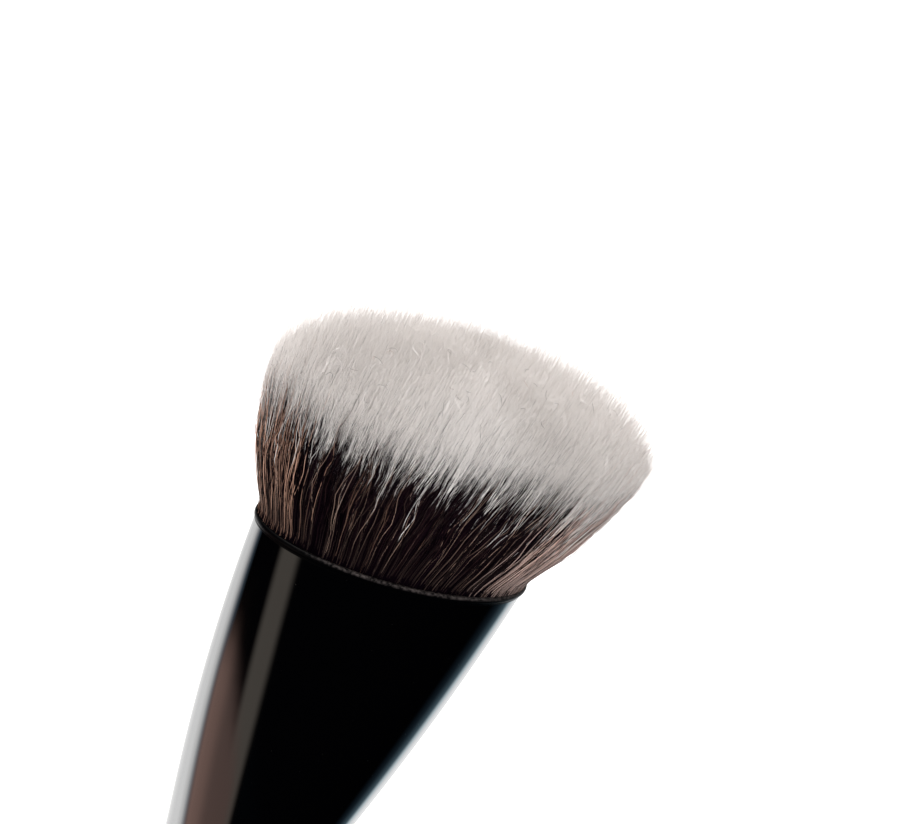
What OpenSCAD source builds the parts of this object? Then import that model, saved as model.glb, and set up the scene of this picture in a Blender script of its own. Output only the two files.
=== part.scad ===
// Contour brush: an oval, flat-topped make-up brush in a pressed metal ferrule on a turned handle.
// The origin is the centre of the flat butt. +Z runs up the handle to the filament tips,
// and the long way of the oval lies along X. Sizes are in millimetres.

/* [Handle] */
// Length of the handle from its flat butt to the ferrule's lower edge
handle_len = 96; // [70:1:130]
// Diameter of the handle where it meets the ferrule
handle_top_d = 12.4; // [10:0.1:12.8]
// Diameter of the handle at its waist, where the fingers hold it
handle_waist_d = 9.4; // [7:0.1:12]
// Height of the waist above the butt
handle_waist_height = 36; // [20:1:60]
// Largest diameter of the handle near the butt
butt_d = 11.2; // [9:0.1:12.4]
// Radius of the rounded edge round the butt
butt_edge_r = 1.2; // [0.4:0.1:3]
// Length of the tenon that goes up into the ferrule
tenon_len = 22; // [18:1:28]

/* [Ferrule] */
// Outer diameter of the round neck
neck_d = 13; // [12.8:0.1:15]
// Length of the round neck
neck_len = 14; // [13:0.5:18]
// Length of the pressed taper from the neck to the lip
taper_len = 38; // [30:1:48]
// Outer width of the oval mouth, without the rolled lip
mouth_w = 26.4; // [22:0.2:32]
// Outer depth of the oval mouth, without the rolled lip
mouth_t = 12.8; // [11:0.2:16]
// Thickness of the metal
ferrule_wall = 0.4; // [0.3:0.05:0.6]
// Radius of the lip that is rolled round the mouth
lip_r = 0.3; // [0.2:0.05:0.4]
// How far the ferrule's flat sides bulge halfway up the taper
side_bulge = 0.72; // [0:0.04:1.6]
// Height of the first crimp above the ferrule's lower edge
crimp_height = 2.2; // [1.6:0.1:3]
// Distance from the first crimp to the second
crimp_pitch = 2.4; // [2:0.1:3]
// Width of one crimp
crimp_w = 1.6; // [1:0.1:1.8]
// Depth to which a crimp is pressed in
crimp_depth = 0.25; // [0.1:0.05:0.4]

/* [Adhesive] */
// Height of the first glue groove above the ferrule's lower edge
glue_height = 7.6; // [7:0.1:8.4]
// Distance from the first glue groove to the second
glue_pitch = 3.2; // [2.6:0.1:3.6]
// Width of one glue groove in the tenon
glue_w = 1.6; // [1:0.1:2]
// Depth of one glue groove in the tenon
glue_depth = 0.6; // [0.3:0.05:1]

/* [Knot] */
// Depth of the resin plug's lower face below the lip
knot_depth = 16; // [14:0.5:20]
// Depth of the resin plug's upper face below the lip
plug_top_depth = 3; // [2.6:0.1:4]
// Depth of the filaments' bonded root slices below the lip, at their upper faces
slice_top_depth = 1.2; // [0.8:0.1:2]
// Depth of the binding's groove below the lip, at its upper edge
binding_top_depth = 7; // [6:0.5:9]
// Diameter of the binding thread
thread_d = 0.7; // [0.5:0.05:0.9]
// Number of turns of binding thread
thread_turns = 4; // [2:1:6]

/* [Head] */
// Width of the filament head at its shoulders
head_w = 37.8; // [32:0.2:44]
// Depth of the filament head at its shoulders
head_t = 20.4; // [16:0.2:24]
// Height of the filament tips above the lip, on the axis
head_h = 19.3; // [14:0.1:24]
// How much lower the tips are at the front shoulder than at the rear one
cut_slope = 1.2; // [0:0.1:3]
// How much the cut face is domed, from the axis to its edge
cut_dome = 1; // [0:0.1:2]
// How far the shoulders are rounded off below the cut face
shoulder_drop = 2.4; // [1:0.1:4]
// How much the cut lengths of neighbouring strands differ
cut_scatter = 0.3; // [0:0.05:0.6]

/* [Strands] */
// Distance between neighbouring strands where they leave the ferrule
strand_spacing = 0.86; // [0.82:0.01:0.95]
// Radius of a three-sided strand where it leaves the ferrule, measured to its corners
strand_r = 0.29; // [0.2:0.01:0.3]
// How far a strand's root is pushed off its row
strand_stray = 0.03; // [0:0.01:0.04]

/* [Clearances] */
// Gap between the tenon and the ferrule's bore
tenon_gap = 0.05; // [0.02:0.01:0.15]
// Gap left round glue, resin and thread where they meet their seats
seat_gap = 0.03; // [0.02:0.01:0.06]
// Gap between the filaments' root slices
slice_gap = 0.04; // [0.02:0.01:0.08]

/* [Hidden] */

// Facets: exact turned surfaces, the oval's sides, and the steps of each profile
$fn = 96;
oval_sides = 64;
taper_steps = 12;
lip_steps = 6;
crimp_steps = 8;
handle_steps = 14;
edge_steps = 6;
thread_steps = 4;
arc_steps = 90;

// Shapes without a size: how soon the taper leaves the neck, and how full it is
taper_soft_share = 0.05;
taper_full_share = 0.49;
// Power of the strands' curve, which bends outwards at the lip and stands upright at the tips
flare_power = 2.05;
// Power of the rounding at the head's shoulders
shoulder_power = 6;
// Heights of the strands' rings as shares of their length above the lip
outer_level_shares = [0, 0.25, 0.55, 1];
inner_level_shares = [0, 0.45, 1];
// Rows of outer and of body strands, counted from the edge of the oval
outer_rows = [0, 1];
body_rows = [2, 3, 4];
strand_sides = 3;
strand_seed = 7;

// Heights above the butt
ferrule_z = handle_len;
neck_top_z = ferrule_z + neck_len;
lip_z = neck_top_z + taper_len;

// Radii of the neck and the tenon
neck_r = neck_d / 2;
bore_r = neck_r - ferrule_wall;
tenon_r = bore_r - tenon_gap;

// The loft runs this far down inside the neck's wall, and this far under its surfaces
seam_overlap = 2 * ferrule_wall;
seam_step = ferrule_wall / 20;

// Depth to which a strand's root runs into its slice
strand_embed = strand_r;
// Length of a strand's straight foot above the lip
strand_foot = lip_r / 2;

// Half-axes of the oval that holds the strands' centres, inside the bore at the roots and at the lip
root_bore = bore_axes(lip_z - slice_top_depth - strand_embed);
lip_bore = bore_axes(lip_z - 2 * lip_r);
strand_margin = seat_gap + slice_gap + strand_r + strand_stray;
root_oval = [min(root_bore.x, lip_bore.x), min(root_bore.y, lip_bore.y)] - [1, 1] * strand_margin;
// How much the head is wider and deeper than its roots
head_spread = [head_w / 2 / (root_oval.x + strand_r), head_t / 2 / (root_oval.y + strand_r)];
// Height of the strands' widest level above the lip
flare_h = head_h;

function mix(a, b, t) = a + (b - a) * t;
function ease(t) = (1 - cos(180 * t)) / 2;

// Share of the taper's widening that is reached at share s of its length
function widening(s) =
    s * s / (s + taper_soft_share) * (1 + taper_soft_share) * (1 + taper_full_share * (1 - s));

// Outer half-axes of the ferrule at a height z between the neck's top and the lip
function wall_axes(z) =
    let (s = max(0, (z - neck_top_z) / taper_len))
    [
        mix(neck_r, mouth_w / 2, widening(s)),
        mix(neck_r, mouth_t / 2, s) + 4 * side_bulge * s * (1 - s) * s / (s + taper_soft_share)
    ];

// Half-axes of the ferrule's bore at a height z
function bore_axes(z) = wall_axes(z) - [1, 1] * ferrule_wall;

// Points of an oval at a height z, with half-axes given as a pair
function oval(axes, z, sides = oval_sides) =
    [for (i = [0:sides - 1]) [axes.x * cos(360 * i / sides), axes.y * sin(360 * i / sides), z]];

// Two triangles for each side of the band between ring i and ring k
function band(i, k, sides) = [
    for (j = [0:sides - 1])
        let (n = (j + 1) % sides)
        each [
            [i * sides + j, k * sides + j, k * sides + n],
            [i * sides + j, k * sides + n, i * sides + n]
        ]
];

// A closed solid through rings from the lowest to the highest, capped at both ends
module loft(rings, sides = oval_sides) {
    last = len(rings) - 1;
    polyhedron(
        points = [for (r = rings) each r],
        faces = concat(
            [[for (j = [0:sides - 1]) j]],
            [for (i = [0:last - 1]) each band(i, i + 1, sides)],
            [[for (j = [sides - 1:-1:0]) last * sides + j]]
        )
    );
}

// A closed shell through rings that go up the outside and come down the inside
module shell(rings, sides = oval_sides) {
    count = len(rings);
    polyhedron(
        points = [for (r = rings) each r],
        faces = [for (i = [0:count - 1]) each band(i, (i + 1) % count, sides)]
    );
}

// How far a crimp presses the neck in at a height h above the ferrule's lower edge
function crimp_at(h, centre) =
    abs(h - centre) < crimp_w / 2
        ? crimp_depth * (1 + cos(360 * (h - centre) / crimp_w)) / 2
        : 0;

crimp_centres = [crimp_height, crimp_height + crimp_pitch];
crimp_heights = [
    for (c = crimp_centres) for (i = [0:crimp_steps]) c + crimp_w * (i / crimp_steps - 1 / 2)
];

// Profile points along the crimped neck at a radius r, from the lower edge up
function crimped(r) = [
    for (h = crimp_heights)
        [r - crimp_at(h, crimp_centres[0]) - crimp_at(h, crimp_centres[1]), ferrule_z + h]
];

glue_heights = [glue_height, glue_height + glue_pitch];

// Radius of the handle at a height z
function handle_r(z) =
    z < handle_waist_height
        ? mix(butt_d, handle_waist_d, ease((z - butt_edge_r) / (handle_waist_height - butt_edge_r))) / 2
        : mix(handle_waist_d, handle_top_d,
            ease((z - handle_waist_height) / (handle_len - handle_waist_height))) / 2;

// Turned wooden handle with its tenon, glue grooves and the marks of the crimps
module handle() {
    tenon_top = ferrule_z + tenon_len;
    tip_chamfer = 2 * glue_depth;
    edge = [
        for (i = [0:edge_steps])
            let (t = 90 * i / edge_steps)
            [butt_d / 2 - butt_edge_r * (1 - sin(t)), butt_edge_r * (1 - cos(t))]
    ];
    below_waist = [
        for (i = [1:handle_steps])
            let (z = mix(butt_edge_r, handle_waist_height, i / handle_steps))
            [handle_r(z), z]
    ];
    above_waist = [
        for (i = [1:handle_steps])
            let (z = mix(handle_waist_height, handle_len, i / handle_steps))
            [handle_r(z), z]
    ];
    glue_grooves = [
        for (h = glue_heights) each [
            [tenon_r, ferrule_z + h],
            [tenon_r - glue_depth, ferrule_z + h],
            [tenon_r - glue_depth, ferrule_z + h + glue_w],
            [tenon_r, ferrule_z + h + glue_w]
        ]
    ];
    color("#120f0e")
    rotate_extrude()
    polygon(concat(
        [[0, 0]],
        edge,
        below_waist,
        above_waist,
        [[tenon_r, handle_len]],
        crimped(tenon_r),
        glue_grooves,
        [
            [tenon_r, tenon_top - tip_chamfer],
            [tenon_r - tip_chamfer, tenon_top],
            [0, tenon_top]
        ]
    ));
}

// Cured glue in the tenon's grooves
module tenon_adhesive() {
    color("#c9a24b")
    for (h = glue_heights)
        translate([0, 0, ferrule_z + h + seat_gap])
        rotate_extrude()
        translate([tenon_r - glue_depth + seat_gap, 0])
        square([glue_depth + tenon_gap - 2 * seat_gap, glue_w - 2 * seat_gap]);
}

// Drawn neck, pressed taper from round to oval, and the lip rolled round the mouth
module ferrule() {
    seam_z = neck_top_z - seam_overlap;
    outer_foot = [1, 1] * (neck_r - seam_step);
    bore_foot = [1, 1] * (bore_r + seam_step);
    taper_top = lip_z - 2 * lip_r;
    taper_z = [for (i = [1:taper_steps]) mix(neck_top_z, taper_top, i / taper_steps)];
    lip_wall = wall_axes(taper_top);
    outside = [for (z = taper_z) oval(wall_axes(z), z)];
    lip = [
        for (i = [1:lip_steps])
            let (t = 180 * i / lip_steps)
            oval(lip_wall + [1, 1] * lip_r * sin(t), lip_z - lip_r * (1 + cos(t)))
    ];
    mouth = [oval(lip_wall - [1, 1] * ferrule_wall, lip_z - lip_r)];
    inside = [for (i = [taper_steps - 1:-1:0]) oval(bore_axes(taper_z[i]), taper_z[i])];
    color("#060608")
    union() {
        rotate_extrude()
        polygon(concat(
            [[bore_r, ferrule_z], [neck_r, ferrule_z]],
            crimped(neck_r),
            [[neck_r, neck_top_z], [bore_r, neck_top_z]],
            [for (i = [len(crimp_heights) - 1:-1:0]) crimped(bore_r)[i]]
        ));
        shell(concat(
            [oval(outer_foot, seam_z), oval(outer_foot, neck_top_z)],
            outside,
            lip,
            mouth,
            inside,
            [oval(bore_foot, neck_top_z), oval(bore_foot, seam_z)]
        ));
    }
}

// Half-axes of what fills the bore at a height z, with its gap to the metal
function filling_axes(z) = bore_axes(z) - [1, 1] * seat_gap;

binding_z = lip_z - binding_top_depth;
binding_h = thread_turns * thread_d;

// Cast resin that locks the bound filament roots in the ferrule
module root_plug() {
    bottom_z = lip_z - knot_depth;
    top_z = lip_z - plug_top_depth;
    groove_z = binding_z - binding_h;
    groove = [1, 1] * (thread_d + seat_gap);
    lower = [for (i = [0:2]) mix(bottom_z, groove_z - seat_gap, i / 2)];
    upper = [for (i = [0:2]) mix(binding_z + seat_gap, top_z, i / 2)];
    color("#d8c48a")
    loft(concat(
        [for (z = lower) oval(filling_axes(z), z)],
        [for (z = [lower[2], upper[0]]) oval(filling_axes(groove_z) - groove, z)],
        [for (z = upper) oval(filling_axes(z), z)]
    ));
}

// Turns of thread that bind the filament roots before the resin is cast
module binding_thread() {
    groove_z = binding_z - binding_h;
    seat = filling_axes(groove_z) - [1, 1] * thread_d;
    turns = [
        for (k = [0:thread_turns - 1])
            for (i = [0:thread_steps - 1])
                let (t = 180 * (i + 1 / 2) / thread_steps)
                oval(
                    seat + [1, 1] * thread_d * (1 + sin(t)) / 2,
                    groove_z + thread_d * (k + (1 - cos(t)) / 2)
                )
    ];
    color("#e6e0d2")
    shell(concat(
        [oval(seat, groove_z)],
        turns,
        [oval(seat, groove_z + binding_h)]
    ));
}

// Half-axes of a row of strands, counted from the edge of the oval
function row_axes(row) = root_oval - [1, 1] * row * strand_spacing;

// Running length along an oval against the angle that it is reached at
function arc_step_len(axes, i) =
    let (t = 360 * i / arc_steps, u = 360 * (i - 1) / arc_steps)
    norm([axes.x * (cos(t) - cos(u)), axes.y * (sin(t) - sin(u))]);
function arc_table(axes) = [
    for (i = 0, run = 0; i <= arc_steps; i = i + 1, run = run + arc_step_len(axes, i))
        [run, 360 * i / arc_steps]
];

// Roots evenly spaced along one row
function row_roots(row) =
    let (
        axes = row_axes(row),
        table = arc_table(axes),
        around = table[arc_steps][0],
        count = round(around / strand_spacing)
    )
    [
        for (k = [0:count - 1])
            let (t = lookup((k + row / 2 - floor(row / 2)) * around / count, table))
            [axes.x * cos(t), axes.y * sin(t)]
    ];

// Roots of the core, on a lattice of equal triangles inside the last row
core_axes = row_axes(body_rows[len(body_rows) - 1] + 1);
function core_roots() =
    let (
        rise = strand_spacing * sqrt(3) / 2,
        rows = floor(core_axes.y / rise),
        columns = ceil(core_axes.x / strand_spacing)
    )
    [
        for (j = [-rows:rows])
            for (i = [-columns:columns])
                let (p = [(i + abs(j % 2) / 2) * strand_spacing, j * rise])
                if (norm([p.x / core_axes.x, p.y / core_axes.y]) <= 1) p
    ];

// Height of a strand's cut tip above the lip, before its own scatter
function tip_h(root) =
    let (
        share = [root.x / root_oval.x, root.y / root_oval.y],
        out = norm(share)
    )
    head_h + cut_slope / 2 * share.y - cut_dome * out * out - shoulder_drop * pow(out, shoulder_power);

// Spread of all strands at a height h above the lip, 1 at the lip and head_spread at the tips
function spread_at(h) =
    let (bend = 1 - pow(1 - min(1, max(0, (h - strand_foot) / flare_h)), flare_power))
    [mix(1, head_spread.x, bend), mix(1, head_spread.y, bend)];

// Rings of one strand, from its root in the slice to its cut tip
function strand_points(root, turn, cut, level_shares) =
    let (
        tip = tip_h(root) - cut,
        levels = concat(
            [-slice_top_depth - strand_embed],
            [for (s = level_shares) mix(strand_foot, tip, s)]
        )
    )
    [
        for (h = levels)
            let (spread = spread_at(h))
            for (k = [0:strand_sides - 1])
                let (t = turn + 360 * k / strand_sides)
                [
                    spread.x * (root.x + strand_r * cos(t)),
                    spread.y * (root.y + strand_r * sin(t)),
                    lip_z + h
                ]
    ];

// Faces of one strand whose first point has the number given
function strand_faces(first, rings) = concat(
    [[for (k = [0:strand_sides - 1]) first + k]],
    [
        for (i = [0:rings - 2])
            for (f = band(i, i + 1, strand_sides)) [for (p = f) first + p]
    ],
    [[for (k = [strand_sides - 1:-1:0]) first + (rings - 1) * strand_sides + k]]
);

// All the strands that stand on the roots given, as one body of separate prisms
module strands(roots, level_shares, seed) {
    count = len(roots);
    rings = len(level_shares) + 1;
    turns = rands(0, 360, count, seed);
    ways = rands(0, 360, count, seed + 1);
    cuts = rands(0, cut_scatter, count, seed + 2);
    polyhedron(
        points = [
            for (n = [0:count - 1])
                each strand_points(
                    roots[n] + strand_stray * [cos(ways[n]), sin(ways[n])],
                    turns[n], cuts[n], level_shares
                )
        ],
        faces = [for (n = [0:count - 1]) each strand_faces(n * rings * strand_sides, rings)]
    );
}

slice_z = [lip_z - plug_top_depth + slice_gap, lip_z - slice_top_depth];

// Half-axes of the border between two groups of strands, half a spacing outside a row
function border_axes(row) = row_axes(row) + [1, 1] * strand_spacing / 2;

// Bonded slice of roots between two borders; the outermost one fills the bore
module ring_slice(outer_low, outer_high, inner) {
    shell([
        oval(outer_low, slice_z[0]),
        oval(outer_high, slice_z[1]),
        oval(inner, slice_z[1]),
        oval(inner, slice_z[0])
    ]);
}

// Inner strands on their bonded slice, white at the tips
module core_filaments() {
    border = border_axes(body_rows[len(body_rows) - 1] + 1) - [1, 1] * slice_gap / 2;
    color("#cfc7c2")
    union() {
        loft([for (z = slice_z) oval(border, z)]);
        strands(core_roots(), inner_level_shares, strand_seed);
    }
}

// Rows of strands between the core and the outside
module body_filaments() {
    outer = border_axes(body_rows[0]) - [1, 1] * slice_gap / 2;
    inner = border_axes(body_rows[len(body_rows) - 1] + 1) + [1, 1] * slice_gap / 2;
    color("#a89d98")
    union() {
        ring_slice(outer, outer, inner);
        strands([for (row = body_rows) each row_roots(row)], inner_level_shares, strand_seed + 10);
    }
}

// Outermost rows of strands, brown over their lower two thirds
module outer_filaments() {
    inner = border_axes(body_rows[0]) + [1, 1] * slice_gap / 2;
    color("#4a3a37")
    union() {
        ring_slice(filling_axes(slice_z[0]), filling_axes(slice_z[1]), inner);
        strands([for (row = outer_rows) each row_roots(row)], outer_level_shares, strand_seed + 20);
    }
}

handle();
tenon_adhesive();
ferrule();
root_plug();
binding_thread();
core_filaments();
body_filaments();
outer_filaments();
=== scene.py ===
"""Looks of the contour brush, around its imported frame. Metres, +Z from the butt to the filament tips."""

import math

import bpy
from mathutils import Matrix, Vector


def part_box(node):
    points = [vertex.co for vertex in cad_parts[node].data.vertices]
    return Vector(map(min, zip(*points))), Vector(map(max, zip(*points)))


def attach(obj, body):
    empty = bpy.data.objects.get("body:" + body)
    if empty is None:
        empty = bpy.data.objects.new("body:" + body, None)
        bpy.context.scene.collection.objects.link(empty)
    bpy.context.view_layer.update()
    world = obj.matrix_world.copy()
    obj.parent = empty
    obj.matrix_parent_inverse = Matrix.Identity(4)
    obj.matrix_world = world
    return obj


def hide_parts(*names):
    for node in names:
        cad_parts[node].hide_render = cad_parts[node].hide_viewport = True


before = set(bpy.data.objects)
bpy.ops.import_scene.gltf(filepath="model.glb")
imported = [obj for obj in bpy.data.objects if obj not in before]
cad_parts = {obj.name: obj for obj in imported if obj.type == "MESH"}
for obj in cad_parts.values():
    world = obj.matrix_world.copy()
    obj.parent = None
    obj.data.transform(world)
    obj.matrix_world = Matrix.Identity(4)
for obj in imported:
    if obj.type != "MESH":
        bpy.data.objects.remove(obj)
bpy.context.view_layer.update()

# Camera
# The photograph looks down into the head from the front left, and is turned so that the brush
# leans to the right. The lip's middle is placed where the photograph has it.
photo_width, photo_height = 900, 824
lip_centre_px = Vector((393.9, 545.5))
pixels_per_metre = 11490
camera_azimuth = math.radians(28.85)
camera_elevation = math.radians(27.23)
camera_lean = math.radians(27.34)
camera_distance = 0.35
sensor_width = 36

lip_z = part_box("ferrule")[1].z
lip_centre = Vector((0, 0, lip_z))
focal_px = pixels_per_metre * camera_distance
to_lip = Vector((
    math.sin(camera_azimuth) * math.cos(camera_elevation),
    math.cos(camera_azimuth) * math.cos(camera_elevation),
    -math.sin(camera_elevation),
))
level_right = Vector((math.cos(camera_azimuth), -math.sin(camera_azimuth), 0))
level_up = level_right.cross(to_lip)
lean = Matrix.Rotation(-camera_lean, 3, to_lip)
right, up = lean @ level_right, lean @ level_up
lip_offset = lip_centre_px - Vector((photo_width / 2, photo_height / 2))
forward = (to_lip * focal_px - right * lip_offset.x + up * lip_offset.y).normalized()
right = (right - forward * right.dot(forward)).normalized()
up = right.cross(forward)

camera_data = bpy.data.cameras.new("camera")
camera_data.sensor_width = sensor_width
camera_data.lens = focal_px / photo_width * sensor_width
camera_data.clip_start = camera_distance / 100
camera = bpy.data.objects.new("camera", camera_data)
camera.matrix_world = Matrix.Translation(lip_centre - to_lip * camera_distance) @ Matrix(
    (right, up, -forward)
).transposed().to_4x4()
bpy.context.scene.collection.objects.link(camera)
bpy.context.scene.camera = camera


# Ferrule
# Metal tube drawn to a round neck, pressed to an oval mouth, crimped on the tenon and rolled over
# at the lip, then dipped in deep gloss black lacquer. Along the lip's top a speckled grey line is
# painted sheen, standing in for the overhead light's reflection.
millimetre = 0.001
ferrule_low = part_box("ferrule")[0]
neck_r = 6.5 * millimetre
neck_length = 14 * millimetre
ferrule_wall = 0.4 * millimetre
lip_r = 0.3 * millimetre
lip_proud = 0.18 * millimetre
lip_band = 0.8 * millimetre
mouth_half = Vector((13.2, 6.4)) * millimetre
side_bulge = 0.72 * millimetre
taper_soft_share, taper_full_share = 0.05, 0.49
crimp_heights = (2.2 * millimetre, 4.6 * millimetre)
crimp_width, crimp_depth = 1.6 * millimetre, 0.25 * millimetre
edge_round = 0.15 * millimetre
edge_facet = edge_round / 3
crimp_rings, crimp_gap = 62, 0.1 * millimetre
neck_rings, neck_gap = 4, 1.9 * millimetre
taper_rings, bead_rings = 60, 16
bead_foot = 0.03 * millimetre
mouth_share, mouth_drop = 0.7, 0.04 * millimetre
ferrule_sides = 144
neck_top = ferrule_low.z + neck_length
taper_length = lip_z - neck_top
taper_top = lip_z - 2 * lip_r
band_low = lip_z - lip_band
ferrule_black = (0.0004, 0.0004, 0.0006)
ferrule_peel = 420
dust_scale, dust_range, dust_grey = 5200, (0.76, 0.8), (0.012, 0.011, 0.01)
haze_scale, haze_roughness = 160, 0.05
gloss_roughness, dust_roughness = 0.05, 0.3
peel_strength, peel_depth = 0.06, 0.04 * millimetre
# Painted sheen on the lip's top: a speckled grey line standing in for the overhead light's reflection
lip_sheen_grey, lip_sheen_scale, lip_sheen_patches = (0.045, 0.038, 0.037), 3600, (0.32, 0.7)
lip_sheen_heights = (lip_z - 0.3 * millimetre, lip_z - 0.08 * millimetre)
lip_sheen_start = (-11 * millimetre, -6 * millimetre)
lip_roughness, lip_shine = 0.35, 0.05


def wall_half(z):
    """Half-axes of the ferrule's outside at a height, without its crimps and its lip."""
    share = max(0.0, (z - neck_top) / taper_length)
    soft = share / (share + taper_soft_share)
    wide = share * soft * (1 + taper_soft_share) * (1 + taper_full_share * (1 - share))
    bulge = 4 * side_bulge * share * (1 - share) * soft
    return Vector((
        neck_r + (mouth_half.x - neck_r) * wide,
        neck_r + (mouth_half.y - neck_r) * share + bulge,
    ))


def crimp_at(z):
    """Depth to which the crimps press the neck in at a height."""
    deep = 0.0
    for height in crimp_heights:
        away = (z - ferrule_low.z - height) / crimp_width
        if abs(away) < 0.5:
            deep += crimp_depth * (1 + math.cos(2 * math.pi * away)) / 2
    return deep


def oval_rings(name, rings, sides, closed):
    """A mesh through rings of (half-axes, height): closed into a shell, or capped at both ends."""
    points, faces = [], []
    for half, z in rings:
        for k in range(sides):
            turn = 2 * math.pi * k / sides
            points.append((half.x * math.cos(turn), half.y * math.sin(turn), z))
    for i in range(len(rings) if closed else len(rings) - 1):
        n = (i + 1) % len(rings)
        for k in range(sides):
            m = (k + 1) % sides
            faces.append((i * sides + k, i * sides + m, n * sides + m, n * sides + k))
    if not closed:
        faces.append(tuple(range(sides - 1, -1, -1)))
        faces.append(tuple((len(rings) - 1) * sides + k for k in range(sides)))
    mesh = bpy.data.meshes.new(name)
    mesh.from_pydata(points, [], faces)
    mesh.shade_smooth()
    piece = bpy.data.objects.new(name, mesh)
    bpy.context.scene.collection.objects.link(piece)
    return piece


def grown(half, by):
    return half + Vector((by, by))


ring_heights = [ferrule_low.z + edge_round + crimp_gap * i for i in range(crimp_rings)]
ring_heights += [neck_top - neck_gap * (neck_rings - i) for i in range(neck_rings)]
ring_heights += [neck_top + (band_low - neck_top) * i / taper_rings for i in range(taper_rings + 1)]
ring_heights += [taper_top - bead_foot, taper_top]
outside = [(grown(wall_half(z), -crimp_at(z)), z) for z in ring_heights]
lip_wall = wall_half(taper_top)
bead = []
for i in range(1, bead_rings + 1):
    turn = math.pi * i / bead_rings
    bead.append((grown(lip_wall, lip_proud * math.sin(turn)), lip_z - lip_r * (1 + math.cos(turn))))
rolled_in = [
    (grown(lip_wall, -ferrule_wall * mouth_share), lip_z - mouth_drop),
    (grown(lip_wall, -ferrule_wall), lip_z - lip_r),
]
inside = [(grown(half, -ferrule_wall), z) for half, z in reversed(outside)]
foot = [
    (grown(wall_half(0), -ferrule_wall), ferrule_low.z),
    (grown(wall_half(0), -edge_round), ferrule_low.z),
    (grown(wall_half(0), -edge_facet), ferrule_low.z + edge_facet),
]
ferrule = oval_rings("ferrule_shell", outside + bead + rolled_in + inside + foot, ferrule_sides, True)
for face in ferrule.data.polygons:
    face.material_index = int(face.center.z > band_low)


class Wire:
    """A socket of a node tree, with arithmetic that adds the tree's Math nodes."""

    def __init__(self, tree, socket):
        self.tree, self.socket = tree, socket

    def node(self, kind, settings=(), values=(), out=0):
        """Adds a node, sets it, fills or links its inputs, and returns one of its outputs."""
        made = self.tree.nodes.new(kind)
        for name, value in dict(settings).items():
            if name == "stops":
                ramp = made.color_ramp
                while len(ramp.elements) < len(value):
                    ramp.elements.new(1)
                for element, (place, colour) in zip(ramp.elements, value):
                    element.position, element.color = place, (*colour, 1)
            else:
                setattr(made, name, value)
        for name, value in dict(values).items():
            shown = [s for s in made.inputs if s.enabled]
            wanted = shown[name] if isinstance(name, int) else next(s for s in shown if s.name == name)
            if isinstance(value, Wire):
                self.tree.links.new(value.socket, wanted)
            else:
                wanted.default_value = value
        shown = [s for s in made.outputs if s.enabled]
        found = shown[out] if isinstance(out, int) else next(s for s in shown if s.name == out)
        return Wire(self.tree, found)

    def maths(self, operation, *values):
        return self.node(
            "ShaderNodeMath", {"operation": operation}, dict(enumerate((self, *values)))
        )

    def flipped(self, operation, value):
        return self.node("ShaderNodeMath", {"operation": operation}, {0: value, 1: self})

    def __add__(self, other):
        return self.maths("ADD", other)

    def __sub__(self, other):
        return self.maths("SUBTRACT", other)

    def __mul__(self, other):
        return self.maths("MULTIPLY", other)

    def __truediv__(self, other):
        return self.maths("DIVIDE", other)

    def __pow__(self, other):
        return self.maths("POWER", other)

    def __rsub__(self, other):
        return self.flipped("SUBTRACT", other)

    def __rtruediv__(self, other):
        return self.flipped("DIVIDE", other)

    __radd__ = __add__
    __rmul__ = __mul__

    def clamped(self):
        return self.node("ShaderNodeClamp", {}, {"Value": self})

    def part(self, axis):
        return self.node("ShaderNodeSeparateXYZ", {}, {"Vector": self}, axis)

    def noise(self, scale, detail, out=0):
        """Smooth noise at this place."""
        values = {"Vector": self, "Scale": scale, "Detail": detail}
        return self.node("ShaderNodeTexNoise", {}, values, out)

    def step(self, low, high):
        """0 below low, 1 above high, and smooth between them."""
        settings = {"interpolation_type": "SMOOTHSTEP"}
        return self.node(
            "ShaderNodeMapRange", settings, {"Value": self, "From Min": low, "From Max": high}
        )

    def blend(self, low, high):
        """A colour that goes from low to high as this value goes from 0 to 1."""
        settings = {"data_type": "RGBA"}
        low = low if isinstance(low, Wire) else (*low, 1)
        high = high if isinstance(high, Wire) else (*high, 1)
        return self.node("ShaderNodeMix", settings, {"Factor": self, "A": low, "B": high})


def new_material(name):
    """A material with a bare Principled shader, its shader node, and a wire of object coordinates."""
    material = bpy.data.materials.new(name)
    material.use_nodes = True
    shader = material.node_tree.nodes["Principled BSDF"]
    start = Wire(material.node_tree, None)
    return material, shader, start.node("ShaderNodeTexCoord", {}, {}, "Object")


def feed(wire, shader, socket):
    wire.tree.links.new(wire.socket, shader.inputs[socket])


def lacquer(name, colour, peel_scale):
    """Deep gloss black lacquer with faint orange peel and settled dust."""
    material, shader, place = new_material(name)
    specks = place.noise(dust_scale, detail=2).step(*dust_range)
    haze = place.noise(haze_scale, detail=3)
    peel = place.noise(peel_scale, detail=1)
    feed(specks.blend(colour, dust_grey), shader, "Base Color")
    feed(haze * haze_roughness + gloss_roughness + specks * dust_roughness, shader, "Roughness")
    bump = {"Height": peel, "Strength": peel_strength, "Distance": peel_depth}
    feed(place.node("ShaderNodeBump", {}, bump, "Normal"), shader, "Normal")
    return material, shader, place, specks


ferrule_lacquer = lacquer("ferrule_lacquer", ferrule_black, ferrule_peel)[0]
lip_lacquer, shader, place, specks = lacquer("lip_lacquer", ferrule_black, ferrule_peel)
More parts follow.
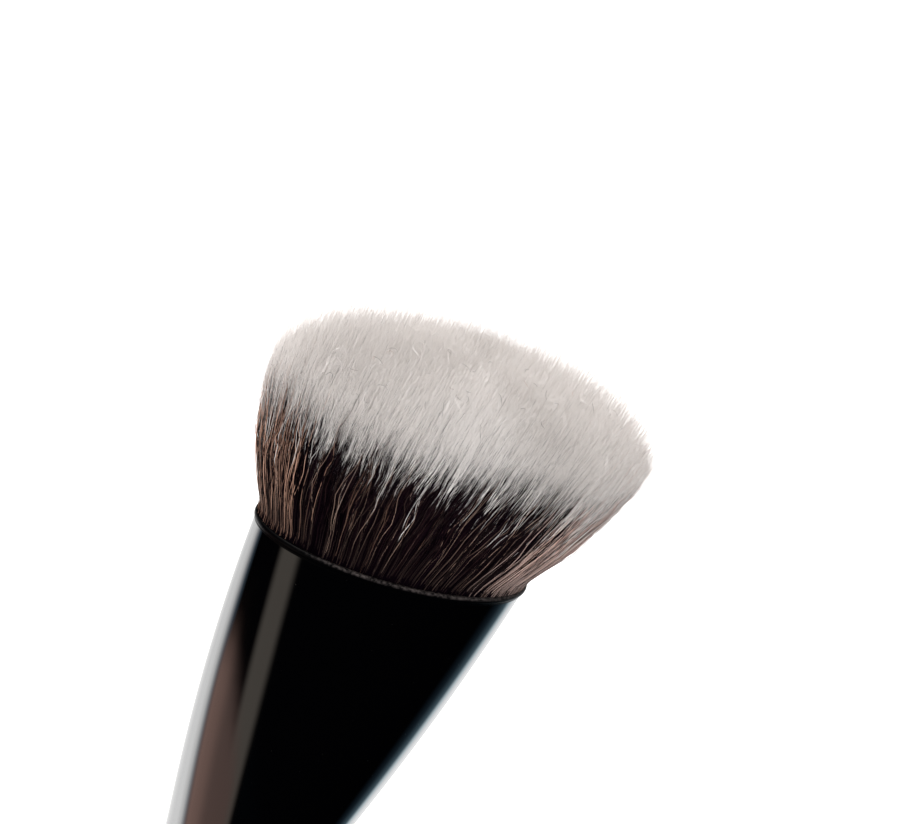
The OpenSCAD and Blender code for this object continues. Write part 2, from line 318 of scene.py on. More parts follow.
# Painted sheen: grey speckles along the lip's top stand in for the overhead light's reflection, fading out
# towards the left end
lip_sheen = place.part("Z").step(*lip_sheen_heights) * place.part("X").step(*lip_sheen_start)
lip_sheen = lip_sheen * place.noise(lip_sheen_scale, detail=3).step(*lip_sheen_patches)
feed(lip_sheen.blend(ferrule_black, lip_sheen_grey), shader, "Base Color")
feed(specks * dust_roughness + lip_roughness, shader, "Roughness")
shader.inputs["Specular IOR Level"].default_value = lip_shine
ferrule.data.materials.append(ferrule_lacquer)
ferrule.data.materials.append(lip_lacquer)
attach(ferrule, "root")
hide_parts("ferrule")


# Handle
# Turned hardwood, slim at the waist where the fingers hold it, flat at the butt, under several
# coats of gloss black lacquer. Its tenon sits in the ferrule's neck, where the crimps hold it.
tenon_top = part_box("handle")[1].z
shoulder_z = ferrule_low.z
shoulder_r, waist_r, butt_r = 6.2 * millimetre, 4.7 * millimetre, 5.6 * millimetre
waist_z = 36 * millimetre
butt_round = 1.2 * millimetre
tenon_r = 6.05 * millimetre
tenon_chamfer = 1.2 * millimetre
glue_grooves = (7.6 * millimetre, 10.8 * millimetre)
glue_width, glue_depth = 1.6 * millimetre, 0.6 * millimetre
butt_rings, grip_rings, handle_sides = 8, 80, 96
handle_black, handle_peel = (0.0012, 0.001, 0.001), 90


def eased(share):
    return (1 - math.cos(math.pi * share)) / 2


def handle_radius(z):
    if z < waist_z:
        return butt_r + (waist_r - butt_r) * eased((z - butt_round) / (waist_z - butt_round))
    return waist_r + (shoulder_r - waist_r) * eased((z - waist_z) / (shoulder_z - waist_z))


def round_ring(radius, z):
    return Vector((radius, radius)), z


handle_rings = []
for i in range(butt_rings + 1):
    turn = math.pi / 2 * i / butt_rings
    handle_rings.append(round_ring(
        butt_r - butt_round * (1 - math.sin(turn)), butt_round * (1 - math.cos(turn))
    ))
for i in range(1, grip_rings):
    z = butt_round + (shoulder_z - butt_round) * i / grip_rings
    handle_rings.append(round_ring(handle_radius(z), z))
handle_rings += [
    round_ring(shoulder_r, shoulder_z - edge_round),
    round_ring(shoulder_r - edge_facet, shoulder_z - edge_facet),
    round_ring(shoulder_r - edge_round, shoulder_z),
]
for i in range(crimp_rings):
    z = shoulder_z + crimp_gap * i
    handle_rings.append(round_ring(tenon_r - crimp_at(z), z + edge_facet))
for groove in glue_grooves:
    low = shoulder_z + groove
    for depth, z in ((0, low), (glue_depth, low), (glue_depth, low + glue_width), (0, low + glue_width)):
        handle_rings.append(round_ring(tenon_r - depth, z))
handle_rings += [
    round_ring(tenon_r, tenon_top - tenon_chamfer),
    round_ring(tenon_r - tenon_chamfer, tenon_top),
]
handle = oval_rings("turned_handle", handle_rings, handle_sides, False)
handle.data.materials.append(lacquer("handle_lacquer", handle_black, handle_peel)[0])
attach(handle, "root")
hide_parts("handle")


# Glue, resin and thread
# What holds the brush together inside: cured amber glue in the tenon's grooves, turns of thread
# round the knot of filaments, and the cast resin that locks the knot in the ferrule.
glue_clear, glue_cloudy, glue_clouds = (0.42, 0.26, 0.07), (0.6, 0.42, 0.16), 900
resin_clear, resin_cloudy, resin_clouds = (0.5, 0.38, 0.18), (0.3, 0.2, 0.12), 420
glue_roughness, resin_roughness = 0.1, 0.2
cloud_range, cloud_roughness = (0.35, 0.7), 0.3
thread_groove_shade, thread_light, thread_roughness = (0.34, 0.3, 0.24), (0.72, 0.68, 0.58), 0.8
ply_slant, ply_pitch, ply_depth = 0.6, 9000, 0.05 * millimetre


def cast(name, clear, cloudy, scale, roughness):
    """A cast or cured resin, clouded by what it soaked into."""
    material, shader, place = new_material(name)
    cloud = place.noise(scale, detail=4)
    feed(cloud.step(*cloud_range).blend(clear, cloudy), shader, "Base Color")
    feed(cloud * cloud_roughness + roughness, shader, "Roughness")
    return material


def finish_node(name, material):
    """Gives a carried-over CAD node its finish."""
    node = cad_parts[name]
    node.data.materials.clear()
    node.data.materials.append(material)


glue = cast("cured_glue", glue_clear, glue_cloudy, glue_clouds, glue_roughness)
resin = cast("cast_resin", resin_clear, resin_cloudy, resin_clouds, resin_roughness)
finish_node("tenon_adhesive", glue)
finish_node("root_plug", resin)

binding, shader, place = new_material("binding_thread")
# Painted shade: the thread darkens in the grooves between its plies, on the same wave that sinks the bump
ply = ((place.part("X") + place.part("Z") * ply_slant) * ply_pitch).maths("SINE") * 0.5 + 0.5
feed(ply.blend(thread_groove_shade, thread_light), shader, "Base Color")
shader.inputs["Roughness"].default_value = thread_roughness
ply_bump = place.node("ShaderNodeBump", {}, {"Height": ply, "Distance": ply_depth}, "Normal")
feed(ply_bump, shader, "Normal")
finish_node("binding_thread", binding)


# Filaments
# The knot: thousands of straight and slightly waved synthetic filaments, dyed brown and left white
# at their tapered tips, packed in the mouth, flaring over the lip to a domed and sloping cut.
strand_count = 44000
golden_turn = math.pi * (3 - math.sqrt(5))
row_jitter, turn_jitter = 6, 0.03
root_half = Vector((12.78, 6.0)) * millimetre
head_half = Vector((18.9, 10.05)) * millimetre
head_height = 21.3 * millimetre
flare_height = 19.7 * millimetre
flare_power = Vector((1.85, 1.3))
cut_slope, cut_fall = 0.9 * millimetre, -0.6 * millimetre
cut_dome, shoulder_drop = 1.5 * millimetre, 2.8 * millimetre
shoulder_power = 6
root_depth = 2.2 * millimetre
# Bodies of the strands
strand_r, strand_sides = 0.046 * millimetre, 3
ring_crowding = 1.5
taper_power, tip_taper = 6, 0.9
thinnest, thickness_spread = 0.7, 0.6
frail_share, frail_thickness = 0.35, 0.5
# Uneven tips, tufts, locks and waves
tip_crowding = 0.35
patch_scale, tuft_scale, streak_scale = 450, 1100, 5500
patch_share = 0.5
back_range = (-0.5, 0.1)
tuft_length, tuft_power, inner_tufts, front_tufts = 2.4 * millimetre, 4, 0.25, 0.4
rim_from, rim_to, rim_scatter, rim_lift = 0.45, 0.75, 2.6, 2.6 * millimetre
head_shift = 0.25 * millimetre
lock_scale, wisp_scale, wisp_share, wisp_stretch = 260, 1000, 0.25, (1, 1, 0.25)
waves, wave_apart, loose_from = ((140, 1.0), (420, 0.3)), 9, (0.0, 0.4)
# Dye: where its line shifts, and the steps of colour, of which the last are tan strands at the
# ends of the oval, painted light standing in for backlight through them
cells = 256
tuft_dye, streak_dye = 0.12, 0.4
middle_dye, end_dye, end_dye_power = 0.01, 0.015, 6
low_ends, low_back, low_dye = (0.6, 0.95), (-0.4, 0.2), 0.06
right_front, left_front, front_depth, front_dye = (0.3, 0.65), (0.83, 0.96), (-0.3, 0.1), 0.055
backlit_right_lean, backlit_blur, backlit_cells_from, backlit_right_from = 0.28, 0.7, 0.75, 0.875
patch_cells, own_cells = 1.2, 0.8
side_switch, tan_switch, right_switch = 0.01, 0.01, 0.005
map_sides, map_rise, map_low = 0.8, 0.7, 0.15
# Stray curls
curl_reach, curl_depth, curl_front = 0.86, 0.42, -0.45
curl_shortest, curl_raise, curl_droop = 0.3, 0.5 * millimetre, 0.5
curl_wobble_scale, curl_wobble, curl_taper = 500, 0.8 * millimetre, 4
curl_brown, curl_white, curl_brown_share = 0.45, 0.6, 0.35


class Growth:
    """A geometry node tree that grows filaments, with what every such tree needs."""

    def __init__(self, name, **inputs):
        self.tree = bpy.data.node_groups.new(name, "GeometryNodeTree")
        sockets = self.tree.interface
        sockets.new_socket("Geometry", in_out="OUTPUT", socket_type="NodeSocketGeometry")
        for label, kind in inputs.items():
            label = label.replace("_", " ")
            sockets.new_socket(label, in_out="INPUT", socket_type="NodeSocket" + kind)
        self.given = self.tree.nodes.new("NodeGroupInput")
        self.node = Wire(self.tree, None).node
        self.index = self.node("GeometryNodeInputIndex")

    def asked(self, label):
        return Wire(self.tree, self.given.outputs[label])

    def chance(self, number, low=0.0, high=1.0):
        """A random number for each filament, the same on each run."""
        return self.node("FunctionNodeRandomValue", {"data_type": "FLOAT"}, {
            "Min": low, "Max": high, "ID": self.index, "Seed": self.asked("Seed") + number,
        })

    def keep(self, shape, name, value, domain="POINT", kind="FLOAT"):
        return self.node(
            "GeometryNodeStoreNamedAttribute", {"data_type": kind, "domain": domain},
            {"Geometry": shape, "Name": name, "Value": value},
        )

    def kept(self, name, kind="FLOAT"):
        return self.node("GeometryNodeInputNamedAttribute", {"data_type": kind}, {"Name": name})

    def vector(self, x, y, z):
        return self.node("ShaderNodeCombineXYZ", {}, {"X": x, "Y": y, "Z": z})

    def parts(self, value):
        return [value.part(axis) for axis in "XYZ"]

    def vectors(self, operation, *values, out="Vector"):
        return self.node(
            "ShaderNodeVectorMath", {"operation": operation}, dict(enumerate(values)), out
        )

    def waver(self, place, scale):
        """Smooth noise about zero, as a vector."""
        noise = place.noise(scale, detail=1, out="Color")
        return self.vectors("SUBTRACT", noise, (0.5, 0.5, 0.5))

    def lines(self, points):
        """A straight line on each point, cut into segments, for the tree to bend."""
        line = self.node("GeometryNodeCurvePrimitiveLine", {}, {"End": (0, 0, 1)})
        line = self.node(
            "GeometryNodeResampleCurve", {}, {"Curve": line, "Count": self.asked("Segments") + 1}
        )
        lines = self.node("GeometryNodeInstanceOnPoints", {}, {"Points": points, "Instance": line})
        return self.node("GeometryNodeRealizeInstances", {}, {"Geometry": lines})

    def cut_height(self, x, y, out):
        """Height of the longest tips over the lip, against the shares of the half-axes."""
        tip = head_height + y * (cut_slope / 2) + x * (cut_fall / 2) - out * out * cut_dome
        return tip - out ** shoulder_power * shoulder_drop

    def finish(self, lines, width):
        """Gives the lines their tapered bodies, their bake map and their finish."""
        ring = self.node(
            "GeometryNodeCurvePrimitiveCircle", {}, {"Resolution": strand_sides, "Radius": 1.0}, "Curve"
        )
        ring = self.keep(ring, "side", self.index / strand_sides)
        tubes = self.node("GeometryNodeCurveToMesh", {}, {
            "Curve": lines, "Profile Curve": ring, "Fill Caps": True, "Scale": width,
        })
        margin = (1 - map_sides) / 2
        across = self.kept("cell") + (self.kept("side") * map_sides + margin) / cells
        spot = self.vector(across, (self.kept("rise") * map_rise + map_low).clamped(), 0.0)
        tubes = self.keep(tubes, "OFBake", spot, "CORNER", "FLOAT2")
        tubes = self.node("GeometryNodeSetShadeSmooth", {}, {"Geometry": tubes})
        tubes = self.node("GeometryNodeRealizeInstances", {}, {"Geometry": tubes})
        tubes = self.node(
            "GeometryNodeSetMaterial", {}, {"Geometry": tubes, "Material": self.asked("Finish")}
        )
        result = self.tree.nodes.new("NodeGroupOutput")
        self.tree.links.new(tubes.socket, result.inputs["Geometry"])
        return self.tree


def strand_tree():
    """Geometry nodes that grow one band of the knot, between two shares of its half-axes."""
    grow = Growth(
        "strands", Knot="Int", Band_from="Float", Band_to="Float", Spacing="Float",
        Segments="Int", Strand_radius="Float", Wave="Float", Lock="Float", Scatter="Float",
        Outward="Float", Pale_from="Float", Seed="Int", Finish="Material",
    )
    asked, vector, vectors, waver = grow.asked, grow.vector, grow.vectors, grow.waver
    first = asked("Knot") * asked("Band from") * asked("Band from")
    last = asked("Knot") * asked("Band to") * asked("Band to")
    number = grow.index * asked("Spacing") + first
    jitter = grow.chance(1, -row_jitter, row_jitter)
    out = ((number + 0.5 + jitter).maths("MAXIMUM", 0) / asked("Knot")).maths("SQRT")
    jitter = grow.chance(2, -turn_jitter, turn_jitter)
    turn = (grow.index + first) * golden_turn + jitter * asked("Spacing")
    root = vector(out * turn.maths("COSINE"), out * turn.maths("SINE"), out)
    roots = grow.node(
        "GeometryNodePoints", {}, {"Count": (last - first) / asked("Spacing"), "Radius": 0.0}
    )
    roots = grow.keep(roots, "root", root, kind="FLOAT_VECTOR")
    luck = vector(grow.chance(3), grow.chance(4), grow.chance(5))
    roots = grow.keep(roots, "luck", luck, kind="FLOAT_VECTOR")
    strands = grow.lines(roots)

    x, y, out = grow.parts(grow.kept("root", "FLOAT_VECTOR"))
    lucky, luckier, luckiest = grow.parts(grow.kept("luck", "FLOAT_VECTOR"))
    factor = grow.node("GeometryNodeSplineParameter", {}, {}, "Factor")
    along = 1 - (1 - factor) ** ring_crowding
    spread = vector(x * head_half.x, y * head_half.y, 0.0)
    patch_x, patch_y, _ = grow.parts(waver(spread, patch_scale))
    tuft_x, tuft_y, _ = grow.parts(waver(spread, tuft_scale))
    back = y.step(*back_range)
    rim = out.step(rim_from, rim_to) * back
    short = lucky ** tip_crowding * asked("Scatter") * (rim * rim_scatter + 1)
    short = short + patch_x * asked("Lock") * patch_share - rim * rim_lift
    streak = waver(spread, streak_scale).part("Y")
    tufted = out ** tuft_power * (1 - inner_tufts) + inner_tufts
    tufted = tufted * (back * (1 - front_tufts) + front_tufts)
    tip = grow.cut_height(x, y, out) - short - tuft_x * tufted * tuft_length
    rise = along * (tip + root_depth) - root_depth
    share = (rise / flare_height).clamped()
    hold = (1 / out).maths("MINIMUM", 1)
    wide, deep = [
        (1 - (1 - share) ** power) * (head - hold * root) + hold * root
        for power, head, root in zip(flare_power, head_half, root_half)
    ]
    place = vector(x * wide + share * head_shift, y * deep, rise + lip_z)
    apart = vector(lucky * wave_apart, luckier * wave_apart, luckiest * wave_apart)
    own = vectors("ADD", place, apart)
    push = vectors("SCALE", waver(place, lock_scale), asked("Lock"))
    wisp = waver(vectors("MULTIPLY", place, wisp_stretch), wisp_scale)
    push = vectors("ADD", push, vectors("SCALE", wisp, asked("Lock") * wisp_share))
    for scale, strength in waves:
        push = vectors("ADD", push, vectors("SCALE", waver(own, scale), asked("Wave") * strength))
    outwards = vectors("NORMALIZE", vector(x / root_half.x, y / root_half.y, 0.0))
    radial = vectors("DOT_PRODUCT", push, outwards, out="Value") * (asked("Outward") - 1)
    push = vectors("ADD", push, vectors("SCALE", outwards, radial))
    place = vectors("ADD", place, vectors("SCALE", push, share.step(*loose_from)))
    strands = grow.node("GeometryNodeSetPosition", {}, {"Geometry": strands, "Position": place})
    shift = x * x * middle_dye + x ** end_dye_power * end_dye
    shift = shift + tuft_y * tuft_dye + streak * streak_dye
    shift = shift + (x * -1).step(*low_ends) * y.step(*low_back) * low_dye
    tilt = x.step(*right_front) - (x * -1).step(*left_front)
    shift = shift + tilt * (1 - y.step(*front_depth)) * front_dye
    strands = grow.keep(strands, "rise", rise / flare_height + shift)
    # Painted light: strands near the ends of the oval, more of them on the right, get tan cells that stand
    # in for backlight through them
    backlit_end = x.maths("ABSOLUTE") + x * backlit_right_lean + (luckier - 0.5) * backlit_blur
    backlit_end = backlit_end.maths("GREATER_THAN", asked("Pale from"))
    cell = (patch_y * patch_cells + 0.5 + (luckiest - 0.5) * own_cells).clamped() * backlit_cells_from
    backlit_cell = (luckiest + x.step(-side_switch, side_switch)) * (1 - backlit_right_from) + backlit_cells_from
    cell = cell + backlit_end * (backlit_cell - cell)
    strands = grow.keep(strands, "cell", (cell * (cells - 1)).maths("FLOOR") / cells)
    thin = (1 - along ** taper_power * tip_taper) * (thinnest + thickness_spread * luckier)
    thin = thin * (lucky.step(0.0, frail_share) * (1 - frail_thickness) + frail_thickness)
    return grow.finish(strands, thin * asked("Strand radius"))


def curl_tree():
    """Geometry nodes that scatter short curled hairs over the front of the cut face."""
    grow = Growth(
        "curls", Curls="Int", Segments="Int", Length="Float", Bend="Float", Depth="Float",
        Strand_radius="Float", Seed="Int", Finish="Material",
    )
    asked, vector, vectors = grow.asked, grow.vector, grow.vectors
    points = grow.node("GeometryNodePoints", {}, {"Count": asked("Curls"), "Radius": 0.0})
    out, turn = grow.chance(1).maths("SQRT"), grow.chance(2, 0, 2 * math.pi)
    middle = vector(
        out * turn.maths("COSINE") * (curl_reach * head_half.x),
        (out * turn.maths("SINE") * curl_depth + curl_front) * head_half.y, grow.chance(3),
    )
    points = grow.keep(points, "middle", middle, kind="FLOAT_VECTOR")
    luck = vector(grow.chance(4), grow.chance(5), grow.chance(6))
    points = grow.keep(points, "luck", luck, kind="FLOAT_VECTOR")
    curls = grow.lines(points)

    middle_x, middle_y, raised = grow.parts(grow.kept("middle", "FLOAT_VECTOR"))
    lucky, luckier, luckiest = grow.parts(grow.kept("luck", "FLOAT_VECTOR"))
    along = grow.node("GeometryNodeSplineParameter", {}, {}, "Factor") - 0.5
    facing = lucky * (2 * math.pi)
    bend = (luckier - 0.5) * asked("Bend") + 1
    length = asked("Length") * (curl_shortest + luckiest)
    heading = facing + bend * along
    reach = length / bend
    x = middle_x + (heading.maths("SINE") - facing.maths("SINE")) * reach
    y = middle_y + (facing.maths("COSINE") - heading.maths("COSINE")) * reach
    far_x, far_y = x / head_half.x, y / head_half.y
    out = (far_x * far_x + far_y * far_y).maths("SQRT")
    height = grow.cut_height(far_x, far_y, out) + raised * curl_raise - asked("Depth")
    height = height - along * along * length * curl_droop
    place = vector(x, y, height + lip_z)
    wobble = vectors("SCALE", grow.waver(place, curl_wobble_scale), curl_wobble)
    place = vectors("ADD", place, wobble)
    curls = grow.node("GeometryNodeSetPosition", {}, {"Geometry": curls, "Position": place})
    rise = curl_brown + luckiest.maths("GREATER_THAN", curl_brown_share) * curl_white
    curls = grow.keep(curls, "rise", rise)
    curls = grow.keep(curls, "cell", (raised * (backlit_cells_from * (cells - 1))).maths("FLOOR") / cells)
    thin = 1 - (along * 2).maths("ABSOLUTE") ** curl_taper * tip_taper
    return grow.finish(curls, thin * asked("Strand radius"))


cell_seeds = (977, 631, 389, 211)
dye_drift, dark_tip_power, fade_above = 0.02, 10, 1.5
fleck_rise, fleck_spread, fleck_cells, fleck_ends = 0.77, 0.17, (0.88, 0.89), (0.01, 0.04, 0.055)
# Painted shade at the root: browns and tans darken towards the lip, standing in for the shade deep in the
# knot
root_tint, root_tint_end, root_shade_end = 0.025, 0.4, 0.5
backlit_tan_dullest, tan_root_shade, tan_root_shade_range = 0.2, 0.18, (-0.02, 0.55)
# Painted backlight: tans for the strands at the ends of the oval, lighter at the right end
backlit_tan_left, backlit_tan_right = (0.82, 0.48, 0.35), (0.97, 0.7, 0.62)
pale_dull, pale_bright = (0.85, 0.815, 0.79), (0.935, 0.9, 0.875)
brown_roughness, white_roughness, filament_shine = 0.4, 0.1, 0.02


def two_tone(name, dark, light, rarity, dye_line, tails, tail_power, dark_tips, fade):
    """Filament dyed brown up to a ragged line, with some white tails below it and dark ones above; its
    browns darken towards the root as painted shade, and turn tan at the ends of the oval as painted
    backlight.
    """
    material, shader, place = new_material(name)
    cell = place.node("ShaderNodeAttribute", {"attribute_name": "cell"}, {}, "Fac")
    rise = place.node("ShaderNodeAttribute", {"attribute_name": "rise"}, {}, "Fac")
    tail, tint, tip, fleck = [
        place.node("ShaderNodeTexWhiteNoise", {"noise_dimensions": "1D"}, {"W": cell * seed}, "Value")
        for seed in cell_seeds
    ]
    edge = cell * dye_drift + dye_line - tail ** tail_power * tails + tip ** dark_tip_power * dark_tips
    white = (rise - edge).step(-fade, fade * fade_above)
    past = rise - tip * fleck_spread - fleck_rise
    fleck_top, fade_from, fade_to = fleck_ends
    flecked = fleck.step(*fleck_cells) * past.step(0.0, fleck_top) * (1 - past.step(fade_from, fade_to))
    white = white * (1 - flecked)
    # Painted shade: the brown darkens to its dark end towards the root
    tinted = tint ** rarity * rise.step(0.0, root_shade_end) + root_tint
    brown = (tinted - rise.step(0.0, root_tint_end) * root_tint).blend(dark, light)
    # Painted backlight: tan cells make strands at the ends of the oval lighter, lightest at the right end
    pale_brown = backlit_tan_dullest + (1 - backlit_tan_dullest) * tint
    # Painted shade: the tan fades towards the root
    pale_brown = pale_brown * (rise.step(*tan_root_shade_range) * (1 - tan_root_shade) + tan_root_shade)
    tan = cell.step(backlit_right_from - right_switch, backlit_right_from).blend(backlit_tan_left, backlit_tan_right)
    brown = (cell.step(backlit_cells_from - tan_switch, backlit_cells_from) * pale_brown).blend(brown, tan)
    pale = tail.blend(pale_dull, pale_bright)
    feed(white.blend(brown, pale), shader, "Base Color")
    feed(white * white_roughness + brown_roughness, shader, "Roughness")
    shader.inputs["Specular IOR Level"].default_value = filament_shine
    return material


# Painted shade and light in the browns: the packed strands' brown is near-black, darker than the dye, for
# the shade inside the knot; fine strands are a little lighter; rare loose strands on the outside are light
# tan, for outer strands catching the light
packed_filament = two_tone(
    "packed_filament", dark=(0.002, 0.0008, 0.002), light=(0.012, 0.005, 0.009), rarity=2,
    dye_line=0.735, tails=0.06, tail_power=3, dark_tips=0.12, fade=0.008,
)
fine_filament = two_tone(
    "fine_filament", dark=(0.002, 0.001, 0.002), light=(0.07, 0.035, 0.037), rarity=4,
    dye_line=0.73, tails=0.18, tail_power=3, dark_tips=0.2, fade=0.01,
)
loose_filament = two_tone(
    "loose_filament", dark=(0.003, 0.0015, 0.003), light=(0.78, 0.53, 0.42), rarity=9,
    dye_line=0.72, tails=0.29, tail_power=4, dark_tips=0.3, fade=0.02,
)


def grown_piece(name, tree, node, slot, wanted):
    """Grows filaments with a tree, turns them into a plain mesh on the root body and hides the CAD node it
    stands in for.
    """
    carrier = bpy.data.objects.new(name + "_carrier", bpy.data.meshes.new(name + "_carrier"))
    bpy.context.scene.collection.objects.link(carrier)
    growing = carrier.modifiers.new("grow", "NODES")
    growing.node_group = tree
    for item in tree.interface.items_tree:
        if item.item_type == "SOCKET" and item.in_out == "INPUT":
            growing[item.identifier] = wanted[item.name]
    depsgraph = bpy.context.evaluated_depsgraph_get()
    mesh = bpy.data.meshes.new_from_object(carrier.evaluated_get(depsgraph))
    carrier.modifiers.remove(growing)
    bpy.data.objects.remove(carrier)
    mesh.name = name
    piece = bpy.data.objects.new(name, mesh)
    bpy.context.scene.collection.objects.link(piece)
    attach(piece, "root")
    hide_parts(node)
    return piece


# Each band's share of the half-axes, its spacing and its segments, then how its strands look:
# thickness, wave, lock, scatter, outward, and how near the ends of the oval they turn tan, as painted
# backlight.
strands = strand_tree()
for name, node, slot, band, spacing, segments, look, finish in (
    ("core_strands", "core_filaments", "filament_white", (0.0, 0.46), 1.0, 3,
     (1.0, 0.4, 0.15, 1.65, 0.4, 0.91), packed_filament),
    ("inner_strands", "body_filaments", "filament_two_tone", (0.46, 0.66), 1.0, 3,
     (1.0, 0.4, 0.15, 1.65, 0.4, 0.91), packed_filament),
    ("middle_strands", "body_filaments", "filament_two_tone", (0.66, 0.8), 1.0, 3,
     (1.0, 0.4, 0.15, 1.65, 0.4, 0.91), packed_filament),
    ("outer_strands", "outer_filaments", "filament_brown", (0.8, 0.9), 1.0, 4,
     (1.0, 0.5, 0.3, 1.65, 0.4, 0.91), packed_filament),
    ("edge_strands", "outer_filaments", "filament_brown", (0.9, 0.96), 1.0, 6,
     (1.0, 0.6, 0.6, 1.65, 0.4, 0.91), packed_filament),
    ("skin_strands", "outer_filaments", "filament_brown", (0.96, 1.0), 1.0, 8,
     (1.0, 0.8, 1.0, 1.65, 0.35, 0.91), packed_filament),
    ("fine_strands", "outer_filaments", "filament_brown", (0.995, 1.005), 0.75, 10,
     (0.55, 1.5, 1.0, 2.2, 0.3, 0.88), fine_filament),
    ("loose_strands", "outer_filaments", "filament_brown", (1.005, 1.02), 2.2, 14,
     (0.85, 2.4, 1.0, 2.4, 0.25, 0.8), loose_filament),
    ("flyaway_strands", "outer_filaments", "filament_brown", (1.0, 1.01), 19, 14,
     (0.4, 3.2, 1.0, 2.0, 0.7, 0.6), loose_filament),
):
    thick, wave, lock, scatter, outward, pale_from = look
    grown_piece(name, strands, node, slot, {
        "Knot": strand_count, "Band from": band[0], "Band to": band[1], "Spacing": spacing,
        "Segments": segments, "Strand radius": strand_r * thick, "Wave": wave * millimetre,
        "Lock": lock * millimetre, "Scatter": scatter * millimetre, "Outward": outward,
        "Pale from": pale_from, "Seed": round(1000 * band[1] + spacing), "Finish": finish,
    })
grown_piece("stray_curls", curl_tree(), "outer_filaments", "filament_brown", {
    "Curls": 110, "Segments": 12, "Length": 1.9 * millimetre, "Bend": 6.0,
    "Depth": 0.95 * millimetre, "Strand radius": 0.012 * millimetre, "Seed": 5,
    "Finish": loose_filament,
})


# Floor and light
# A plain pale floor in soft white studio light: a bright backdrop behind and to the sides, soft
# light above, and the dark of the room and a warm low reflection in front, for the black lacquer.
floor_half = 4.0
floor_dull, floor_white, floor_mottle = (0.9, 0.9, 0.9), (0.93, 0.93, 0.93), 40
floor_roughness, floor_shine, floor_glow = 0.9, 0.1, 0.45
floor_mesh = bpy.data.meshes.new("floor")
floor_mesh.from_pydata(
    [(-floor_half, -floor_half, 0), (floor_half, -floor_half, 0),
     (floor_half, floor_half, 0), (-floor_half, floor_half, 0)],
    [], [(0, 1, 2, 3)],
)
floor = bpy.data.objects.new("floor", floor_mesh)
bpy.context.scene.collection.objects.link(floor)
floor_paint, shader, place = new_material("floor_paint")
mottle = place.noise(floor_mottle, detail=2)
feed(mottle.blend(floor_dull, floor_white), shader, "Base Color")
shader.inputs["Roughness"].default_value = floor_roughness
shader.inputs["Specular IOR Level"].default_value = floor_shine
shader.inputs["Emission Color"].default_value = (1, 1, 1, 1)
shader.inputs["Emission Strength"].default_value = floor_glow
floor_mesh.materials.append(floor_paint)
floor.visible_glossy = False
floor.visible_diffuse = False

world = bpy.data.worlds.new("studio")
bpy.context.scene.world = world
world.use_nodes = True
sky = Wire(world.node_tree, None)
direction = sky.node("ShaderNodeTexCoord", {}, {}, "Generated")
towards = Vector((-math.sin(camera_azimuth), -math.cos(camera_azimuth), 0))
black, white = (0, 0, 0), (1, 1, 1)
backdrop_peak, low_loss, low_range = 6.0, 0.75, (-0.45, -0.2)
sky_white, sky_lean, sky_range = (1.14, 1.095, 1.07), 0.3, (0.1, 0.5)
card_light, card_turns, card_top = (1.15, 1.02, 0.88), (0.0, 0.045, 0.11, 0.17), (-0.3, -0.1)
warm_near, warm_far, warm_change = (1.4, 0.92, 0.8), (2.1, 1.33, 1.13), (0.22, 0.36)
warm_turns, warm_top = (0.004, 0.085, 0.44, 0.54), (-0.68, -0.63)
lip_shadow, lip_shadow_top = (0.003, 0.008, 0.011), (-0.63, -0.585)
underside = (-0.84, -0.76)
shade_turns, shade_levels = (0.5, 0.6, 0.8, 0.9), (-0.1, 0.1, 0.6, 0.8)
side_edge = (-0.001, 0.001)
right_stops = (
    (105, (0, 0, 0)), (115, (0.05, 0.09, 0.13)), (127, (0.31, 0.5, 0.62)), (134, (2.0, 2.35, 2.5)),
    (142, (2.55, 2.6, 2.65)), (165, (1.5, 1.5, 1.5)), (180, (1.15, 1.15, 1.15)),
)
left_stops = (
    (78, (0, 0, 0)), (86, (0.34, 0.5, 0.66)), (93, (2.0, 2.1, 2.25)), (103, (4.6, 4.6, 4.6)),
    (115, (4.8, 4.8, 4.8)), (134, (3.0, 3.0, 3.0)), (154, (1.9, 1.9, 1.9)), (180, (1.15, 1.15, 1.15)),
)


def facing(vector):
    return sky.node(
        "ShaderNodeVectorMath", {"operation": "DOT_PRODUCT"}, {0: direction, 1: vector}, "Value"
    )


def within(wire, edges):
    """1 inside two soft edges and 0 outside: the ends of the rise, then the ends of the fall."""
    return wire.step(*edges[:2]) * (1 - wire.step(*edges[2:]))


def scaled(colour, by):
    return sky.node("ShaderNodeVectorMath", {"operation": "SCALE"}, {0: colour, "Scale": by})


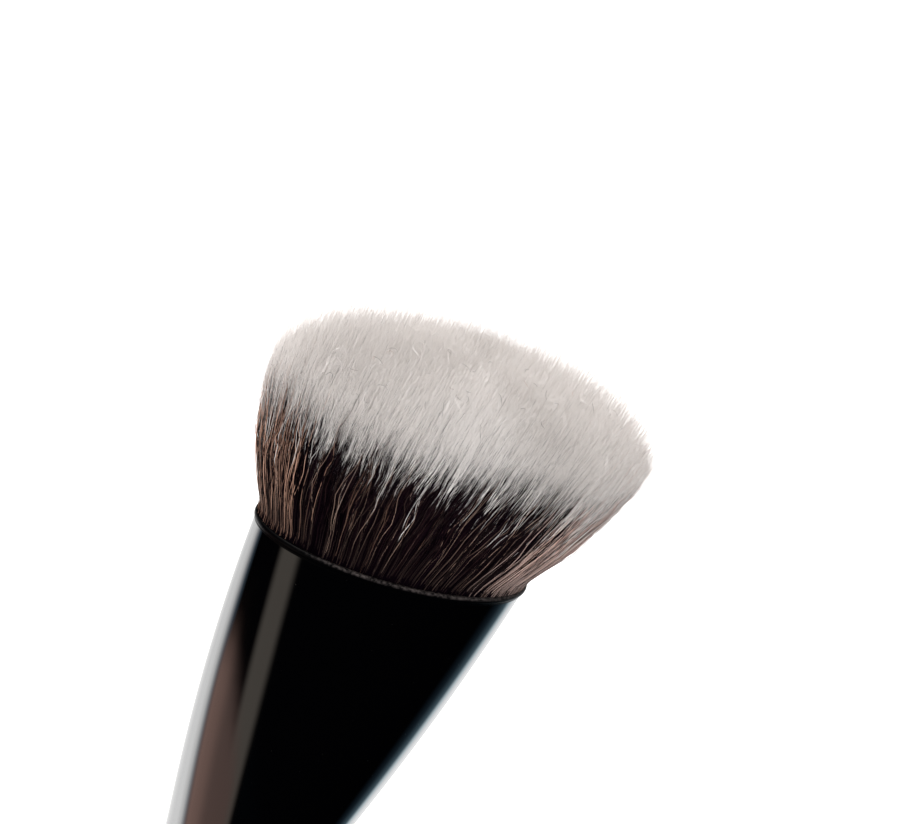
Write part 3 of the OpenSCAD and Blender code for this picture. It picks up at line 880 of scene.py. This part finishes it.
def backdrop_light(turn, stops):
    """Light of the backdrop against the turn away from the camera, given in degrees."""
    ramp = [(degrees / 180, tuple(c / backdrop_peak for c in colour)) for degrees, colour in stops]
    return turn.node("ShaderNodeValToRGB", {"stops": ramp}, {"Fac": turn}, "Color")


def path_is(kind):
    return sky.node("ShaderNodeLightPath", {}, {}, f"Is {kind} Ray")


level = facing((0, 0, 1))
bearing = facing(level_right).maths("ARCTAN2", facing(towards)) / math.pi
leftwards = bearing * -1
on_right = bearing.step(*side_edge)
backdrop = on_right.blend(
    backdrop_light(leftwards, left_stops), backdrop_light(bearing, right_stops)
)
backdrop = scaled(backdrop, (1 - level.step(*low_range) * low_loss) * backdrop_peak)
card = within(leftwards, card_turns) * (1 - level.step(*card_top))
lit = card.blend(backdrop, card_light)
warm = within(leftwards, warm_turns) * (1 - level.step(*warm_top))
lit = warm.blend(lit, leftwards.step(*warm_change).blend(warm_near, warm_far))
lit = level.step(*underside).blend(black, lit)
below_lip = on_right * (1 - level.step(*lip_shadow_top))
lit = below_lip.blend(lit, lip_shadow)
lit = level.step(*sky_range).blend(lit, scaled(sky_white, 1 - facing(level_right) * sky_lean))
shade = within(leftwards, shade_turns) * within(level, shade_levels) * path_is("Glossy")
lit = shade.blend(lit, black)
lit = path_is("Camera").blend(lit, white)
background = world.node_tree.nodes["Background"]
sky.tree.links.new(lit.socket, background.inputs["Color"])


def soft_box(name, offset, size, power, colour, in_gloss):
    """A round soft light that looks at the head."""
    data = bpy.data.lights.new(name, "AREA")
    data.shape = "DISK"
    data.size, data.energy, data.color = size, power, colour
    lamp = bpy.data.objects.new(name, data)
    lamp.location = lip_centre + Vector(offset)
    lamp.rotation_euler = (-Vector(offset)).to_track_quat("-Z", "Y").to_euler()
    lamp.visible_glossy = in_gloss
    bpy.context.scene.collection.objects.link(lamp)


soft_box(
    "key", offset=(-0.3, -0.3, 0.6), size=0.4, power=2.7, colour=(1, 0.97, 0.945), in_gloss=True,
)
soft_box(
    "fill", offset=(-0.33, -0.46, 0.1), size=0.4, power=3.0, colour=(0.95, 0.98, 1), in_gloss=False,
)

bpy.context.scene.view_settings.view_transform = "Standard"
